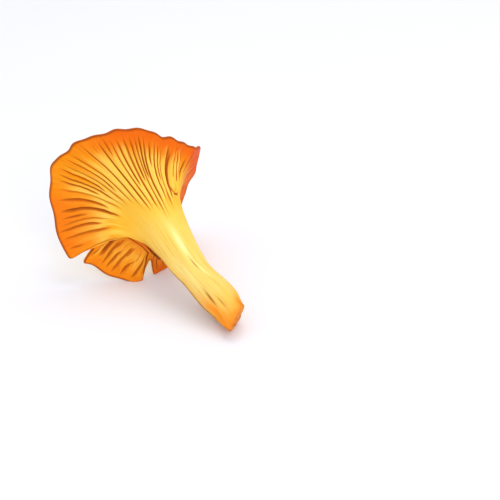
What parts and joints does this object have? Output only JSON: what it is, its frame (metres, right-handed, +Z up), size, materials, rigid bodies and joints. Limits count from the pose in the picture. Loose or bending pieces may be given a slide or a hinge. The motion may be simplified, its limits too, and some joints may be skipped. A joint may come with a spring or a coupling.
{
  "type": "chanterelle mushroom",
  "caption": "Funnel-shaped chanterelle lying on its side, with forked false gills running down under a wavy cap and a solid tapering stem.",
  "frame": {"origin": "middle of the bounding box, on the surface the mushroom lies on", "axes": "+Z up, +X towards the cut end of the stem, the cap opens towards -X"},
  "size_m": [0.0756, 0.0594, 0.0558],
  "materials": {
    "flesh": null
  },
  "bodies": {
    "root": {"chanterelle": "flesh"}
  },
  "joints": []
}
